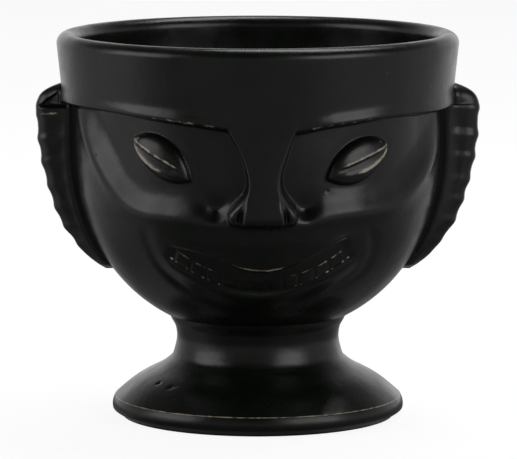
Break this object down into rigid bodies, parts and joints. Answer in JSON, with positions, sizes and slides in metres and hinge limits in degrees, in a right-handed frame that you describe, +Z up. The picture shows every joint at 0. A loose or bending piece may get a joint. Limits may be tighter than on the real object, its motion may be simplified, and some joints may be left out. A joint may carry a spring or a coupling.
{
  "type": "tiki mug",
  "caption": "Footed black ceramic tiki mug shaped as a grinning carved head with a banded rim, leaf-shaped eyes, crimped ears and a flared hollow foot.",
  "frame": {"origin": "centre of the ring that the foot stands on, on the axis of the turned bowl", "axes": "+Z up along the axis of the bowl, the face looks along -Y, +X towards the viewer's right"},
  "size_m": [0.1248, 0.112, 0.1075],
  "materials": {
    "satin_black_glaze": "satin black glaze, worn golden brown where it breaks over sharp edges"
  },
  "bodies": {
    "root": {"pedestal_foot": "satin_black_glaze", "cup_bowl": "satin_black_glaze", "forehead_collar": "satin_black_glaze", "nose": "satin_black_glaze", "left_eye": "satin_black_glaze", "right_eye": "satin_black_glaze", "upper_lip": "satin_black_glaze", "lower_lip": "satin_black_glaze", "teeth": "satin_black_glaze", "left_ear": "satin_black_glaze", "right_ear": "satin_black_glaze"}
  },
  "joints": []
}
